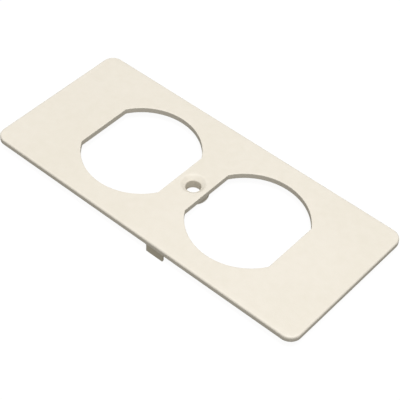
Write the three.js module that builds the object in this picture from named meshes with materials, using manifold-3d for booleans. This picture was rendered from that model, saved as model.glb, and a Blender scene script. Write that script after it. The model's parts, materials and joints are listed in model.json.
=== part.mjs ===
// Duplex cover plate for a narrow surface raceway: a flat moulded plate with two receptacle
// openings, a bushing for its cover screw, and two small clips that centre it on the raceway.
//
// Millimetres. +X runs along the plate, +Y across it, +Z out of its face. The origin is on the
// screw hole's axis, level with the tips of the clip legs, the plate's lowest points.

import * as THREE from 'three';
import { mergeVertices } from 'three/addons/utils/BufferGeometryUtils.js';
import Module from 'manifold-3d';

// Face plate.
const plateLength = 107.6;
const plateWidth = 47.8;
const plateThickness = 1.8;
const cornerRadius = 3.5;
const rimRadius = 0.6;              // softened edge round the top of the plate

// Two openings, each a circle cut by two flats, as every duplex receptacle face is.
const openingSpacing = 38.9;        // centre to centre
const openingRadius = 17.06;
const openingFlatDistance = 14.53;  // from an opening's centre to each of its flats

// Countersunk hole for a #6 cover screw, on the plate's centre.
const screwHoleRadius = 2.2;
const screwHeadRadius = 3.6;
const countersinkHalfAngle = THREE.MathUtils.degToRad(50);

// Bushing under the screw hole.
const bushingDepth = 2.1;           // from the plate's underside to the bushing's seat
const bushingRadius = 4.5;
const bushingChamfer = 0.3;

// Clips: a foot fixed under the plate, and a leg that hangs flush with the plate's long edge.
const clipCentreX = 7.4;
const clipWidth = 5.8;
const legDepth = 2.5;               // from the plate's underside to the leg's tip
const legThickness = 0.7;
const legLeadIn = 0.25;             // chamfer on the inner side of the leg's tip
const footReach = 6;
const footThickness = 0.9;
const footCornerRadius = 0.8;

// Clearance between neighbouring pieces.
const gap = 0.3;

// Roundness of the faceted curves, in segments.
const openingArcSegments = 36;
const cornerSegments = 8;
const rimSegments = 3;
const roundSegments = 48;

const underside = legDepth;
const faceLevel = underside + plateThickness;
const cutMargin = 1;                // how far a cutting solid runs past what it cuts
const mergeTolerance = 1e-4;

// Ivory plastic: finely textured on the plate, plain on the bushing, and a shade darker on the clips.
const plateIvory = { color: 0xf1ebdc, roughness: 0.5, metalness: 0 };
const bushingIvory = { color: 0xf1ebdc, roughness: 0.42, metalness: 0 };
const clipIvory = { color: 0xddd6c5, roughness: 0.42, metalness: 0 };

const wasm = await Module();
wasm.setup();

function solidFrom(geometry) {
  const bare = geometry.clone();
  bare.deleteAttribute('normal');
  bare.deleteAttribute('uv');
  const merged = mergeVertices(bare, mergeTolerance);
  const vertProperties = new Float32Array(merged.attributes.position.array);
  const triVerts = new Uint32Array(merged.index.array);
  return new wasm.Manifold(new wasm.Mesh({ numProp: 3, vertProperties, triVerts }));
}

function geometryFrom(solid) {
  const { vertProperties, triVerts } = solid.getMesh();
  const geometry = new THREE.BufferGeometry();
  geometry.setAttribute('position', new THREE.BufferAttribute(new Float32Array(vertProperties), 3));
  geometry.setIndex(new THREE.BufferAttribute(new Uint32Array(triVerts), 1));
  geometry.computeVertexNormals();
  return geometry;
}

function piece(name, geometry, look) {
  const mesh = new THREE.Mesh(geometry, new THREE.MeshStandardMaterial(look));
  mesh.name = name;
  return mesh;
}

// A rectangle with round corners, centred on the origin.
function roundedRectangle(length, width, radius) {
  const right = length / 2 - radius;
  const back = width / 2 - radius;
  const quarter = Math.PI / 2;
  const shape = new THREE.Shape();
  shape.absarc(right, back, radius, 0, quarter);
  shape.absarc(-right, back, radius, quarter, 2 * quarter);
  shape.absarc(-right, -back, radius, 2 * quarter, 3 * quarter);
  shape.absarc(right, -back, radius, 3 * quarter, 4 * quarter);
  return shape;
}

// The duplex opening: round at front and back, flat at both ends.
function openingOutline(centreX) {
  const flatAngle = Math.acos(openingFlatDistance / openingRadius);
  const shape = new THREE.Shape();
  shape.absarc(centreX, 0, openingRadius, flatAngle, Math.PI - flatAngle);
  shape.absarc(centreX, 0, openingRadius, Math.PI + flatAngle, 2 * Math.PI - flatAngle);
  return shape;
}

// A round solid about Z, from [radius, level] pairs that start and end on the axis or close up.
function turned(profile) {
  const points = profile.map(([radius, level]) => new THREE.Vector2(radius, level));
  return new THREE.LatheGeometry(points, roundSegments).rotateX(Math.PI / 2);
}

// The plate's blank: its lower rim is rounded too, but lies below the underside and is cut off.
function plateBlank() {
  const height = plateThickness + rimRadius + cutMargin;
  const blank = new THREE.ExtrudeGeometry(roundedRectangle(plateLength, plateWidth, cornerRadius), {
    depth: height - 2 * rimRadius,
    curveSegments: cornerSegments,
    bevelThickness: rimRadius,
    bevelSize: rimRadius,
    bevelOffset: -rimRadius,
    bevelSegments: rimSegments,
  });
  blank.translate(0, 0, faceLevel - height + rimRadius);
  return solidFrom(blank);
}

function belowUnderside() {
  const depth = 2 * (rimRadius + cutMargin);
  const box = new THREE.BoxGeometry(2 * plateLength, 2 * plateWidth, depth);
  box.translate(0, 0, underside - depth / 2);
  return solidFrom(box);
}

function openingCutter(centreX) {
  const cutter = new THREE.ExtrudeGeometry(openingOutline(centreX), {
    depth: plateThickness + 2 * cutMargin,
    curveSegments: openingArcSegments,
    bevelEnabled: false,
  });
  cutter.translate(0, 0, underside - cutMargin);
  return solidFrom(cutter);
}

function countersinkCutter() {
  const slope = 1 / Math.tan(countersinkHalfAngle);
  const coneDepth = (screwHeadRadius - screwHoleRadius) * slope;
  return solidFrom(turned([
    [0, underside - cutMargin],
    [screwHoleRadius, underside - cutMargin],
    [screwHoleRadius, faceLevel - coneDepth],
    [screwHeadRadius + cutMargin / slope, faceLevel + cutMargin],
    [0, faceLevel + cutMargin],
  ]));
}

function facePlate() {
  const solid = plateBlank()
    .subtract(belowUnderside())
    .subtract(openingCutter(-openingSpacing / 2))
    .subtract(openingCutter(openingSpacing / 2))
    .subtract(countersinkCutter());
  return piece('face_plate', geometryFrom(solid), plateIvory);
}

// A ring with a chamfered outer edge at its seat, which bears on the receptacle's strap.
function screwBushing() {
  const top = underside - gap;
  const seat = underside - bushingDepth;
  const ring = turned([
    [screwHoleRadius, seat],
    [bushingRadius - bushingChamfer, seat],
    [bushingRadius, seat + bushingChamfer],
    [bushingRadius, top],
    [screwHoleRadius, top],
    [screwHoleRadius, seat],
  ]);
  return piece('screw_bushing', ring, bushingIvory);
}

// The foot is a pad flat under the plate, behind the leg.
function clipFoot(name) {
  const pad = new THREE.ExtrudeGeometry(roundedRectangle(clipWidth, footReach, footCornerRadius), {
    depth: footThickness,
    curveSegments: cornerSegments,
    bevelEnabled: false,
  });
  const foot = piece(name, pad, clipIvory);
  const outerEnd = -plateWidth / 2 + legThickness + gap;
  foot.position.set(clipCentreX, outerEnd + footReach / 2, underside - gap - footThickness);
  return foot;
}

// The leg's section is drawn in the YZ plane and drawn out along X.
function clipLeg(name) {
  const top = underside - gap;
  const section = new THREE.Shape();
  section.moveTo(0, 0);
  section.lineTo(legThickness - legLeadIn, 0);
  section.lineTo(legThickness, legLeadIn);
  section.lineTo(legThickness, top);
  section.lineTo(0, top);
  const bar = new THREE.ExtrudeGeometry(section, { depth: clipWidth, bevelEnabled: false });
  const alongX = new THREE.Matrix4().makeBasis(
    new THREE.Vector3(0, 1, 0),
    new THREE.Vector3(0, 0, 1),
    new THREE.Vector3(1, 0, 0),
  );
  bar.applyMatrix4(alongX);
  const leg = piece(name, bar, clipIvory);
  leg.position.set(clipCentreX - clipWidth / 2, -plateWidth / 2, 0);
  return leg;
}

function clip(side, turn) {
  const group = new THREE.Group();
  group.add(clipFoot(`${side}_clip_foot`), clipLeg(`${side}_clip_leg`));
  group.rotation.z = turn;
  return group;
}

const coverPlate = new THREE.Group();
coverPlate.add(facePlate(), screwBushing(), clip('front', 0), clip('rear', Math.PI));

export default coverPlate;
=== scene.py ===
# Looks for the duplex cover plate: a narrow ivory moulding with two receptacle openings, a
# bushing for its cover screw and two small spring clips. Every piece is built in metres, in the
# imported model's own frame: +X along the plate, +Z out of its face, z = 0 at the clip legs' tips.

import json
import math

import bmesh
import bpy
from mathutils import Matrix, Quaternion, Vector
from mathutils.geometry import delaunay_2d_cdt
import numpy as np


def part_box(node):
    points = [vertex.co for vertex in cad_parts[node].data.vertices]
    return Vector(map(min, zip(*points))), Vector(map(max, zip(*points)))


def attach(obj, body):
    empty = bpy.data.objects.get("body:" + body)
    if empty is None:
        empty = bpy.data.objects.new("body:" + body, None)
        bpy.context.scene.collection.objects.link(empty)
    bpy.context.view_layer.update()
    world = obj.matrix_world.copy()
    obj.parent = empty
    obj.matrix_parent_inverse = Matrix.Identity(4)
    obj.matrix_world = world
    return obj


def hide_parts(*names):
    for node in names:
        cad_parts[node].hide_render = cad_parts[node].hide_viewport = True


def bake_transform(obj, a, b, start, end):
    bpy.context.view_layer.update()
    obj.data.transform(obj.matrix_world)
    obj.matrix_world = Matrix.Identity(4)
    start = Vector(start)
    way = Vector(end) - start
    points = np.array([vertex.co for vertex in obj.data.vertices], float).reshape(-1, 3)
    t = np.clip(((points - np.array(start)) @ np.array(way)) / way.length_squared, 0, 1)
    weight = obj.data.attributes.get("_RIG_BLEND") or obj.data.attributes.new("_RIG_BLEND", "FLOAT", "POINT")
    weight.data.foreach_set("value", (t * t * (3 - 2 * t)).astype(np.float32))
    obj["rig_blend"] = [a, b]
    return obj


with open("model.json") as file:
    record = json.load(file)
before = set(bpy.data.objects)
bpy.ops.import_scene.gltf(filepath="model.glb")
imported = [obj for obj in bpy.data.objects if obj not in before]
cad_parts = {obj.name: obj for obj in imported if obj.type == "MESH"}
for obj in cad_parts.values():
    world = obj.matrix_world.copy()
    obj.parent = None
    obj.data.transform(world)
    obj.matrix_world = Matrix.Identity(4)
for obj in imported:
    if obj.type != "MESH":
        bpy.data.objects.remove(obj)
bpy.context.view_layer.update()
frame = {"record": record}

MM = 0.001

# Face plate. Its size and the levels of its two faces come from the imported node.
PLATE_LOW, PLATE_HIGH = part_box("face_plate")
CORNER_RADIUS = 3.5 * MM
TOP_RIM = 0.6 * MM           # rounding of the face's outer edge
BACK_RIM = 0.12 * MM         # rounding of every edge on the back

# Each opening is a circle cut by two flats, with a tiny fillet where they meet.
OPENING_RADIUS = 17.06 * MM
OPENING_FLAT_DISTANCE = 14.53 * MM
OPENING_FILLET = 0.4 * MM
OPENING_RIM = 0.22 * MM      # rounding of the face's edge round an opening

# Countersunk hole for a #6 screw.
SCREW_HOLE_RADIUS = 2.2 * MM
SCREW_HEAD_RADIUS = 3.6 * MM
COUNTERSINK_HALF_ANGLE = math.radians(50)
COUNTERSINK_LIP = 0.35 * MM  # rounding where the countersink meets the face
THROAT_ROUND = 0.15 * MM     # rounding where the countersink meets the bore

# Shallow marks that the mould's ejector pins leave on the back.
PIN_MARK_RADIUS = 1.6 * MM
PIN_MARK_DEPTH = 0.1 * MM
PIN_MARK_INSET_X = 6.5 * MM
PIN_MARK_INSET_Y = 6.0 * MM

# Bushing.
BUSHING_FILLET = 0.28 * MM   # where it grows out of the plate's back
BUSHING_ROUND = 0.3 * MM     # round the outside of its seat
BORE_ROUND = 0.1 * MM        # round the bore at its seat

# Clips.
PAD_BEVEL = 0.2 * MM
PAD_CORNER = 0.8 * MM
LEG_BEVEL = 0.1 * MM
LEG_LEAD_IN = 0.25 * MM      # chamfer on the inner side of the leg's tip
LEG_ROOT_FILLET = 0.3 * MM
LEG_INSET = 0.02 * MM        # keeps the leg's outer face just behind the plate's edge
LEG_ROOT_DEPTH = 0.4 * MM    # how far the leg is rooted in the plate
LEG_BEND_DEPTH = 0.8 * MM    # how far below the plate's back the leg's bend reaches

# Ivory plastic: the lighter and darker tones of each moulding's mottling, the depth of its
# grain, and its roughness. The boss has the plate's tones, and the clips are a shade darker.
FACE_LIGHT = (0.88, 0.83, 0.745, 1.0)
FACE_DARK = (0.85, 0.80, 0.705, 1.0)
FACE_GRAIN = 0.05 * MM
FACE_ROUGHNESS = 0.5
CLIP_LIGHT = (0.72, 0.67, 0.56, 1.0)
CLIP_DARK = (0.69, 0.635, 0.52, 1.0)
PLAIN_GRAIN = 0.015 * MM
PLAIN_ROUGHNESS = 0.42
PLASTIC_IOR = 1.47

# Noise that the plastic's mottling and grain are made of. Scales are in cells per metre.
CLOUD_NOISE = {"Scale": 40.0, "Detail": 3.0}
MOTTLE_NOISE = {"Scale": 420.0, "Detail": 4.0, "Roughness": 0.6}
GRAIN_NOISE = {"Scale": 3600.0, "Detail": 3.0, "Roughness": 0.55}
GRAIN_STRENGTH = 0.6
TONE_FROM = 0.7              # cloud and mottle added up, where the plastic is darkest
TONE_TO = 1.3                # and where it is lightest
SHEEN_FROM = 0.3             # mottle, where the plastic is smoothest
SHEEN_TO = 0.7               # and where it is roughest
SMOOTHER = -0.05             # change of roughness at those two ends
ROUGHER = 0.07

# How much each edge is rubbed, from 0 to 1. The same amount also paints the edge paler, partly as wear and
# partly as a painted highlight.
RIM_WEAR = 1.0
OPENING_WEAR = 0.6
SCREW_HEAD_WEAR = 0.7
SEAT_WEAR = 0.7
# The paler tone of a rubbed edge is partly wear and partly a painted highlight along the rims.
WORN_AND_HIGHLIGHT_BRIGHTNESS = 1.05       # a rubbed edge's tone, as a share of the lighter tone
WORN_SMOOTHING = -0.18       # change of roughness where an edge is rubbed most

# How finely curves and flats are divided.
OPENING_SEGMENTS = 72
CORNER_SEGMENTS = 14
RIM_SEGMENTS = 5
FILLET_SEGMENTS = 5
ROUND_SEGMENTS = 72
BACKDROP_SEGMENTS = 5
BEVEL_SEGMENTS = 3
WALL_STEPS = 4               # rings down the screw hole's bore
BEND_STEPS = 8               # slices of a clip's leg
GRID_STEP = 2.0 * MM         # spacing of the points inside a flat
GRID_CLEARANCE = 0.9 * MM    # how far those points stay from the flat's edges
SAME_POINT = 1e-8            # points this close are one to the triangulation
WELD_DISTANCE = 0.002 * MM
SHARP_ANGLE = math.radians(40)
BEVEL_ANGLE = math.radians(30)
NORMAL_WEIGHT = 100          # how strongly a big face sets the normals round it

# Camera, at the angle that the plate is seen from.
CAMERA_AZIMUTH = math.radians(39.43)
CAMERA_ELEVATION = math.radians(46.87)
CAMERA_ROLL = math.radians(2.62)
CAMERA_DISTANCE = 347.9 * MM
CAMERA_LENS = 115.67
CAMERA_AIM = Vector((5.42 * MM, -3.44 * MM, 0))  # from the middle of the face
CAMERA_NEAREST = 0.01

# Studio light.
KEY_AZIMUTH = math.radians(50)
KEY_ELEVATION = math.radians(80)
KEY_DISTANCE = 1.1
KEY_SIZE = 0.8
KEY_POWER = 11.35
AMBIENT_COLOUR = (1.0, 0.97, 0.86)
AMBIENT_STRENGTH = 0.23

# Backdrop: a round pale floor whose edge curves up into a wall.
BACKDROP_RADIUS = 3.0
BACKDROP_BEND = 0.8
BACKDROP_HEIGHT = 3.0
PAPER_COLOUR = (0.09, 0.09, 0.09, 1.0)
PAPER_GLOW = 0.94


# Outlines: points in the XY plane, counterclockwise. All but an arc are closed loops, and most
# can be `grown` outwards.

def arc(centre_x, centre_y, radius, start, end, segments):
    """Points on an arc, both ends included."""
    steps = [start + (end - start) * i / segments for i in range(segments + 1)]
    return [(centre_x + radius * math.cos(a), centre_y + radius * math.sin(a)) for a in steps]


def circle(centre_x, centre_y, radius):
    turn = 2 * math.pi * (1 - 1 / ROUND_SEGMENTS)
    return arc(centre_x, centre_y, radius, 0, turn, ROUND_SEGMENTS - 1)


def rounded_rectangle(centre_x, centre_y, length, width, radius, grown=0.0):
    across = length / 2 - radius
    along = width / 2 - radius
    corners = [(across, along), (-across, along), (-across, -along), (across, -along)]
    points = []
    for i, (x, y) in enumerate(corners):
        start = i * math.pi / 2
        points += arc(centre_x + x, centre_y + y, radius + grown,
                      start, start + math.pi / 2, CORNER_SEGMENTS)
    return points


def plate_outline(grown):
    size = PLATE_HIGH - PLATE_LOW
    return rounded_rectangle(0, 0, size.x, size.y, CORNER_RADIUS, grown)


def opening_outline(centre_x, grown):
    """The duplex opening: a small fillet at each end of both round sides, and a flat between."""
    fillet_x = OPENING_FLAT_DISTANCE - OPENING_FILLET
    fillet_y = math.sqrt((OPENING_RADIUS - OPENING_FILLET) ** 2 - fillet_x ** 2)
    turn = math.atan2(fillet_y, fillet_x)
    fillet = OPENING_FILLET + grown
    points = []
    for side in (0, math.pi):
        sign = math.cos(side)
        points += arc(centre_x + sign * fillet_x, sign * fillet_y, fillet,
                      side, side + turn, FILLET_SEGMENTS)[:-1]
        points += arc(centre_x, 0, OPENING_RADIUS + grown,
                      side + turn, side + math.pi - turn, OPENING_SEGMENTS)
        points += arc(centre_x - sign * fillet_x, sign * fillet_y, fillet,
                      side + math.pi - turn, side + math.pi, FILLET_SEGMENTS)[1:]
    return points


# Mesh building.

def add_loop(bm, points, level, wear=0.0):
    layer = bm.verts.layers.float["wear"]
    loop = [bm.verts.new((x, y, level)) for x, y in points]
    for vertex in loop:
        vertex[layer] = wear
    return loop


def join_loops(bm, lower, upper):
    """A band of faces between two loops with the same number of points."""
    for i in range(len(lower)):
        j = (i + 1) % len(lower)
        bm.faces.new((lower[i], lower[j], upper[j], upper[i]))


def sweep(bm, outline, profile):
    """Walls that follow an outline. profile lists (how far the outline is grown, level, wear)."""
    loops = [add_loop(bm, outline(grown), level, wear) for grown, level, wear in profile]
    for lower, upper in zip(loops, loops[1:]):
        join_loops(bm, lower, upper)


def quarter_round(radius, level, upwards, wear):
    """Profile of a rounded edge: from the wall to the flat at `level`, `upwards` on the face."""
    steps = [i / RIM_SEGMENTS * math.pi / 2 for i in range(RIM_SEGMENTS + 1)]
    side = 1 if upwards else -1
    return [(radius * (1 - math.cos(a)), level - side * radius * (1 - math.sin(a)), wear)
            for a in steps]


def is_inside(loop, x, y):
    """Whether a point lies inside a closed loop, by counting the edges to its right."""
    crossings = 0
    for (x0, y0), (x1, y1) in zip(loop, loop[1:] + loop[:1]):
        if (y0 > y) != (y1 > y) and x < x0 + (y - y0) / (y1 - y0) * (x1 - x0):
            crossings += 1
    return crossings % 2 == 1


def fill_flat(bm, level, outer, holes):
    """Fills the flat area between an outer loop and its holes with well-shaped triangles."""
    def is_material(x, y):
        return is_inside(outer, x, y) and not any(is_inside(hole, x, y) for hole in holes)

    points, edges = [], []
    for loop in [outer, *holes]:
        first = len(points)
        points += [Vector(p) for p in loop]
        edges += [(first + i, first + (i + 1) % len(loop)) for i in range(len(loop))]
    edge_points = list(points)
    half_length = max(x for x, y in outer)
    half_width = max(y for x, y in outer)
    columns = math.floor(half_length / GRID_STEP)
    rows = math.floor(half_width / GRID_STEP)
    for column in range(-columns, columns + 1):
        for row in range(-rows, rows + 1):
            p = Vector((column * GRID_STEP, row * GRID_STEP))
            clear = all((p - q).length > GRID_CLEARANCE for q in edge_points)
            if clear and is_material(p.x, p.y):
                points.append(p)
    flat, _, triangles, *_ = delaunay_2d_cdt(points, edges, [], 0, SAME_POINT)
    made = [bm.verts.new((p.x, p.y, level)) for p in flat]
    for triangle in triangles:
        middle = sum((flat[i] for i in triangle), Vector((0, 0))) / 3
        if is_material(middle.x, middle.y):
            bm.faces.new([made[i] for i in triangle])
    loose = [v for v in made if not v.link_faces]
    bmesh.ops.delete(bm, geom=loose, context="VERTS")


def new_mesh():
    bm = bmesh.new()
    bm.verts.layers.float.new("wear")
    return bm


def object_from(bm, name):
    """Welds a bmesh into one closed, smooth-shaded object."""
    bmesh.ops.remove_doubles(bm, verts=bm.verts, dist=WELD_DISTANCE)
    bmesh.ops.recalc_face_normals(bm, faces=bm.faces)
    mesh = bpy.data.meshes.new(name)
    bm.to_mesh(mesh)
    bm.free()
    mesh.shade_smooth()
    mesh.set_sharp_from_angle(angle=SHARP_ANGLE)
    obj = bpy.data.objects.new(name, mesh)
    bpy.context.scene.collection.objects.link(obj)
    return obj


def weighted_normals(obj):
    """Keeps flats flat beside their rounded edges."""
    modifier = obj.modifiers.new("weighted_normals", "WEIGHTED_NORMAL")
    modifier.keep_sharp = True
    modifier.weight = NORMAL_WEIGHT


def apply_modifiers(obj):
    graph = bpy.context.evaluated_depsgraph_get()
    obj.data = bpy.data.meshes.new_from_object(obj.evaluated_get(graph))
    obj.modifiers.clear()


# Pieces.

def opening_centres():
    """Where the openings are, from the middles of the boxes that the record gives for them."""
    boxes = {o["name"]: o["box_m"] for o in frame["record"]["physics"]["openings"]}
    sides = [boxes["left_opening"], boxes["right_opening"]]
    return [(low[0] + high[0]) / 2 for low, high in sides]


def rounded_corner(before, corner, after, size):
    """Replaces a profile's corner by a short round, `size` long towards each neighbour."""
    start = corner + (before - corner).normalized() * size
    end = corner + (after - corner).normalized() * size
    steps = [i / FILLET_SEGMENTS for i in range(FILLET_SEGMENTS + 1)]
    return [start * (1 - t) ** 2 + corner * 2 * t * (1 - t) + end * t ** 2 for t in steps]


def screw_hole_profile(back, face):
    """The bore and its countersink from the back to the face, both edges of the cone rounded."""
    cone_depth = (SCREW_HEAD_RADIUS - SCREW_HOLE_RADIUS) / math.tan(COUNTERSINK_HALF_ANGLE)
    foot = Vector((SCREW_HOLE_RADIUS, back))
    throat = Vector((SCREW_HOLE_RADIUS, face - cone_depth))
    mouth = Vector((SCREW_HEAD_RADIUS, face))
    beyond = Vector((2 * SCREW_HEAD_RADIUS, face))  # anywhere further out on the face
    lower = rounded_corner(foot, throat, mouth, THROAT_ROUND)
    upper = rounded_corner(throat, mouth, beyond, COUNTERSINK_LIP)
    wall = [foot.lerp(lower[0], i / WALL_STEPS) for i in range(WALL_STEPS)]
    rubbed_and_highlit = [(p.x, p.y, SCREW_HEAD_WEAR) for p in upper]
    return [(p.x, p.y, 0.0) for p in wall + lower] + rubbed_and_highlit


def pin_mark_centres():
    reach_x = PLATE_HIGH.x - PIN_MARK_INSET_X
    reach_y = PLATE_HIGH.y - PIN_MARK_INSET_Y
    corners = [(x, y) for x in (-reach_x, reach_x) for y in (-reach_y, reach_y)]
    return corners + [(0, -reach_y), (0, reach_y)]


def cover_plate():
    bm = new_mesh()
    face, back = PLATE_HIGH.z, PLATE_LOW.z

    outer_wall = [(-g, z, w) for g, z, w in quarter_round(BACK_RIM, back, False, 0.0)[::-1]]
    outer_wall += [(-g, z, w) for g, z, w in quarter_round(TOP_RIM, face, True, RIM_WEAR)]
    sweep(bm, plate_outline, outer_wall)

    opening_wall = quarter_round(BACK_RIM, back, False, 0.0)[::-1]
    opening_wall += quarter_round(OPENING_RIM, face, True, OPENING_WEAR)
    for centre_x in opening_centres():
        sweep(bm, lambda grown: opening_outline(centre_x, grown), opening_wall)

    screw_profile = screw_hole_profile(back, face)
    sweep(bm, lambda radius: circle(0, 0, radius), screw_profile)

    holes = [opening_outline(x, OPENING_RIM) for x in opening_centres()]
    fill_flat(bm, face, plate_outline(-TOP_RIM), [*holes, circle(0, 0, screw_profile[-1][0])])

    marks = [circle(x, y, PIN_MARK_RADIUS) for x, y in pin_mark_centres()]
    holes = [opening_outline(x, BACK_RIM) for x in opening_centres()]
    screw_hole = circle(0, 0, SCREW_HOLE_RADIUS)
    fill_flat(bm, back, plate_outline(-BACK_RIM), [*holes, screw_hole, *marks])
    for x, y in pin_mark_centres():
        sink_mark(bm, x, y, PIN_MARK_RADIUS, back, PIN_MARK_DEPTH)
    plate = object_from(bm, "cover_plate")
    weighted_normals(plate)
    return plate


def sink_mark(bm, x, y, radius, level, depth):
    """A shallow round dimple, `depth` into the material above a downward face."""
    top = radius - depth / 2  # its wall leans in by half its depth
    sweep(bm, lambda r: circle(x, y, r), [(radius, level, 0.0), (top, level + depth, 0.0)])
    bm.faces.new(add_loop(bm, circle(x, y, top), level + depth))


def screw_boss():
    """The bushing, with a fillet where it grows out of the plate's back."""
    low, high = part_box("screw_bushing")
    root = PLATE_LOW.z
    seat_inside = Vector((SCREW_HOLE_RADIUS, low.z))
    seat_outside = Vector((high.x, low.z))
    bore_root = Vector((SCREW_HOLE_RADIUS, root))
    outer_root = Vector((high.x, root))
    beyond = Vector((2 * high.x, root))  # anywhere further out on the plate's back
    inner_round = rounded_corner(bore_root, seat_inside, seat_outside, BORE_ROUND)
    outer_round = rounded_corner(seat_inside, seat_outside, outer_root, BUSHING_ROUND)
    fillet = rounded_corner(seat_outside, outer_root, beyond, BUSHING_FILLET)
    profile = [(p.x, p.y, SEAT_WEAR) for p in inner_round + outer_round]
    profile += [(p.x, p.y, 0.0) for p in [*fillet, bore_root]]
    bm = new_mesh()
    sweep(bm, lambda radius: circle(0, 0, radius), [(*bore_root, 0.0), *profile])
    boss = object_from(bm, "screw_boss")
    weighted_normals(boss)
    return boss


def prism(bm, outline, bottom, top):
    """A straight-sided solid standing on an outline in the XY plane."""
    lower = add_loop(bm, outline, bottom)
    upper = add_loop(bm, outline, top)
    join_loops(bm, lower, upper)
    bm.faces.new(lower[::-1])
    bm.faces.new(upper)


def bevel(obj, width):
    modifier = obj.modifiers.new("bevel", "BEVEL")
    modifier.width = width
    modifier.segments = BEVEL_SEGMENTS
    modifier.limit_method = "ANGLE"
    modifier.angle_limit = BEVEL_ANGLE
    apply_modifiers(obj)
    obj.data.shade_smooth()
    obj.data.set_sharp_from_angle(angle=SHARP_ANGLE)


def clip_pad(side):
    """The clip's foot: a pad welded flat to the plate's back."""
    low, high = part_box(f"{side}_clip_foot")
    middle = (low + high) / 2
    size = high - low
    bm = new_mesh()
    outline = rounded_rectangle(middle.x, middle.y, size.x, size.y, PAD_CORNER)
    prism(bm, outline, low.z, PLATE_LOW.z)
    pad = object_from(bm, f"{side}_clip_pad")
    bevel(pad, PAD_BEVEL)
    weighted_normals(pad)
    return pad


def clip_leg(side):
    """The clip's leg, rooted in the plate's edge, with a fillet behind its root."""
    low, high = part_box(f"{side}_clip_leg")
    inward = 1 if side == "front" else -1
    outer = low.y if side == "front" else high.y
    inner = high.y if side == "front" else low.y
    outer += inward * LEG_INSET
    back = PLATE_LOW.z
    tip = Vector((inner, low.z + LEG_LEAD_IN))
    corner = Vector((inner, back))
    beyond = Vector((inner + inward, back))  # anywhere further in on the plate's back
    fillet = rounded_corner(tip, corner, beyond, LEG_ROOT_FILLET)
    section = [Vector((outer, low.z)), Vector((inner - inward * LEG_LEAD_IN, low.z)), tip, *fillet]
    section += [fillet[-1] + Vector((0, LEG_ROOT_DEPTH)), Vector((outer, back + LEG_ROOT_DEPTH))]
    bm = new_mesh()
    ends = [[bm.verts.new((x, p.x, p.y)) for p in section] for x in (low.x, high.x)]
    join_loops(bm, *ends)
    bm.faces.new(ends[0][::-1])
    bm.faces.new(ends[1])
    leg = object_from(bm, f"{side}_clip_spring")
    bevel(leg, LEG_BEVEL)
    divide_by_level(leg, low.z, back, BEND_STEPS)
    weighted_normals(leg)
    return leg


def divide_by_level(obj, bottom, top, parts):
    """Cuts a mesh at even levels, so that it can bend."""
    bm = bmesh.new()
    bm.from_mesh(obj.data)
    for i in range(1, parts):
        level = bottom + (top - bottom) * i / parts
        bmesh.ops.bisect_plane(bm, geom=[*bm.verts, *bm.edges, *bm.faces],
                               plane_co=(0, 0, level), plane_no=(0, 0, 1))
    bm.to_mesh(obj.data)
    bm.free()


# Materials.

class Nodes:
    """A short way to add and link shader nodes."""

    def __init__(self, tree):
        self.tree = tree
        tree.nodes.clear()

    def add(self, kind, inputs=None, **settings):
        node = self.tree.nodes.new(kind)
        for name, value in settings.items():
            setattr(node, name, value)
        for name, value in (inputs or {}).items():
            if isinstance(value, bpy.types.NodeSocket):
                self.tree.links.new(value, node.inputs[name])
            else:
                node.inputs[name].default_value = value
        return node


def moulded_ivory(name, light, dark, grain_depth, roughness):
    """Ivory plastic: faint mottling, a fine moulded grain, and edges rubbed smoother and painted paler,
    partly as wear and partly as a painted highlight along the rims.
    """
    material = bpy.data.materials.new(name)
    material.use_nodes = True
    nodes = Nodes(material.node_tree)
    place = nodes.add("ShaderNodeTexCoord").outputs["Object"]

    cloud = nodes.add("ShaderNodeTexNoise", {"Vector": place, **CLOUD_NOISE})
    mottle = nodes.add("ShaderNodeTexNoise", {"Vector": place, **MOTTLE_NOISE})
    grain = nodes.add("ShaderNodeTexNoise", {"Vector": place, **GRAIN_NOISE})
    wear = nodes.add("ShaderNodeAttribute", attribute_name="wear").outputs["Fac"]

    tone = nodes.add("ShaderNodeMath", {0: cloud.outputs["Fac"], 1: mottle.outputs["Fac"]},
                     operation="ADD")
    tone = nodes.add("ShaderNodeMapRange", {"Value": tone.outputs[0], "From Min": TONE_FROM,
                                            "From Max": TONE_TO})
    body = nodes.add("ShaderNodeMix", {"Factor": tone.outputs[0], "A": dark, "B": light},
                     data_type="RGBA")
    # Rubbed edges get a paler colour, partly wear and partly a painted highlight along the rims; their lower
    # roughness is wear alone.
    pale_worn_highlight = tuple(min(1.0, c * WORN_AND_HIGHLIGHT_BRIGHTNESS) for c in light[:3]) + (1.0,)
    rubbed_and_highlit = nodes.add("ShaderNodeMath", {0: wear, 1: mottle.outputs["Fac"]}, operation="MULTIPLY")
    colour = nodes.add("ShaderNodeMix", {"Factor": rubbed_and_highlit.outputs[0], "A": body.outputs["Result"],
                                         "B": pale_worn_highlight}, data_type="RGBA")

    dull = nodes.add("ShaderNodeMapRange", {
        "Value": mottle.outputs["Fac"],
        "From Min": SHEEN_FROM,
        "From Max": SHEEN_TO,
        "To Min": roughness + SMOOTHER,
        "To Max": roughness + ROUGHER,
    })
    smooth = nodes.add("ShaderNodeMath", {0: rubbed_and_highlit.outputs[0], 1: WORN_SMOOTHING,
                                          2: dull.outputs[0]}, operation="MULTIPLY_ADD")

    bump = nodes.add("ShaderNodeBump", {"Height": grain.outputs["Fac"], "Distance": grain_depth,
                                        "Strength": GRAIN_STRENGTH})
    shader = nodes.add("ShaderNodeBsdfPrincipled", {
        "Base Color": colour.outputs["Result"],
        "Roughness": smooth.outputs[0],
        "Normal": bump.outputs["Normal"],
        "IOR": PLASTIC_IOR,
    })
    nodes.add("ShaderNodeOutputMaterial", {"Surface": shader.outputs[0]})
    return material


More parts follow.
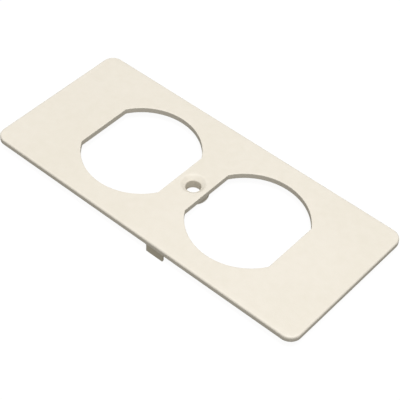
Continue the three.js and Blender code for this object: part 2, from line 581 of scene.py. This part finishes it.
def studio_paper():
    """Near-white paper that glows a little, so that the plate's shadow on it stays faint."""
    material = bpy.data.materials.new("studio_paper")
    material.use_nodes = True
    nodes = Nodes(material.node_tree)
    paper = nodes.add("ShaderNodeBsdfDiffuse", {"Color": PAPER_COLOUR})
    glow = nodes.add("ShaderNodeEmission", {"Color": (1.0, 1.0, 1.0, 1.0), "Strength": PAPER_GLOW})
    both = nodes.add("ShaderNodeAddShader", {0: paper.outputs[0], 1: glow.outputs[0]})
    nodes.add("ShaderNodeOutputMaterial", {"Surface": both.outputs[0]})
    return material


# Studio.

def backdrop():
    """The paper bowl. It is only looked at: it gives the part no light and no shade."""
    steps = [i / BACKDROP_SEGMENTS * math.pi / 2 for i in range(BACKDROP_SEGMENTS + 1)]
    flat = BACKDROP_RADIUS - BACKDROP_BEND
    bend = [(flat + BACKDROP_BEND * math.sin(a), BACKDROP_BEND * (1 - math.cos(a)), 0.0)
            for a in steps]
    bm = new_mesh()
    sweep(bm, lambda radius: circle(0, 0, radius), [*bend, (BACKDROP_RADIUS, BACKDROP_HEIGHT, 0.0)])
    bm.faces.new(add_loop(bm, circle(0, 0, flat), 0.0))
    paper = object_from(bm, "backdrop")
    paper.data.materials.append(studio_paper())
    paper.visible_diffuse = False
    paper.visible_glossy = False
    paper.visible_shadow = False


def direction(azimuth, elevation):
    """Unit vector from the part towards a viewer; azimuth 0 stands on the part's -Y side."""
    flat = math.cos(elevation)
    return Vector((math.sin(azimuth) * flat, -math.cos(azimuth) * flat, math.sin(elevation)))


def key_light():
    data = bpy.data.lights.new("softbox", "AREA")
    data.shape = "SQUARE"
    data.size = KEY_SIZE
    data.energy = KEY_POWER
    light = bpy.data.objects.new("softbox", data)
    towards = direction(KEY_AZIMUTH, KEY_ELEVATION)
    light.location = towards * KEY_DISTANCE
    light.rotation_euler = (-towards).to_track_quat("-Z", "Y").to_euler()
    bpy.context.scene.collection.objects.link(light)


def ambient_light():
    world = bpy.data.worlds.new("studio")
    world.use_nodes = True
    nodes = Nodes(world.node_tree)
    sky = nodes.add("ShaderNodeBackground", {"Color": (*AMBIENT_COLOUR, 1.0),
                                             "Strength": AMBIENT_STRENGTH})
    nodes.add("ShaderNodeOutputWorld", {"Surface": sky.outputs[0]})
    bpy.context.scene.world = world


def camera():
    data = bpy.data.cameras.new("camera")
    data.lens = CAMERA_LENS
    data.clip_start = CAMERA_NEAREST
    data.clip_end = 2 * BACKDROP_RADIUS
    cam = bpy.data.objects.new("camera", data)
    towards = direction(CAMERA_AZIMUTH, CAMERA_ELEVATION)
    aim = Vector((0, 0, PLATE_HIGH.z)) + CAMERA_AIM
    cam.location = aim + towards * CAMERA_DISTANCE
    level = (-towards).to_track_quat("-Z", "Y")
    cam.rotation_euler = (level @ Quaternion((0, 0, 1), CAMERA_ROLL)).to_euler()
    bpy.context.scene.collection.objects.link(cam)
    bpy.context.scene.camera = cam


def finish_piece(piece, material, replaced):
    """Gives a piece its material, and hides the CAD node that it replaces."""
    piece.data.materials.append(material)
    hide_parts(replaced)


def build_part():
    face = moulded_ivory("ivory_face", FACE_LIGHT, FACE_DARK, FACE_GRAIN, FACE_ROUGHNESS)
    plain = moulded_ivory("ivory_plain", FACE_LIGHT, FACE_DARK, PLAIN_GRAIN, PLAIN_ROUGHNESS)
    clip = moulded_ivory("ivory_clip", CLIP_LIGHT, CLIP_DARK, PLAIN_GRAIN, PLAIN_ROUGHNESS)

    plate = cover_plate()
    finish_piece(plate, face, "face_plate")
    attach(plate, "plate")

    boss = screw_boss()
    finish_piece(boss, plain, "screw_bushing")
    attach(boss, "plate")

    for side in ("front", "rear"):
        pad = clip_pad(side)
        finish_piece(pad, clip, f"{side}_clip_foot")
        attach(pad, "plate")

        leg = clip_leg(side)
        finish_piece(leg, clip, f"{side}_clip_leg")
        low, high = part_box(f"{side}_clip_leg")
        middle = (low + high) / 2
        root = (middle.x, middle.y, PLATE_LOW.z)
        bent = (middle.x, middle.y, PLATE_LOW.z - LEG_BEND_DEPTH)
        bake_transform(leg, "plate", f"{side}_clip", start=root, end=bent)


def main():
    camera()
    backdrop()
    key_light()
    ambient_light()
    bpy.context.scene.view_settings.view_transform = "Standard"
    build_part()


main()
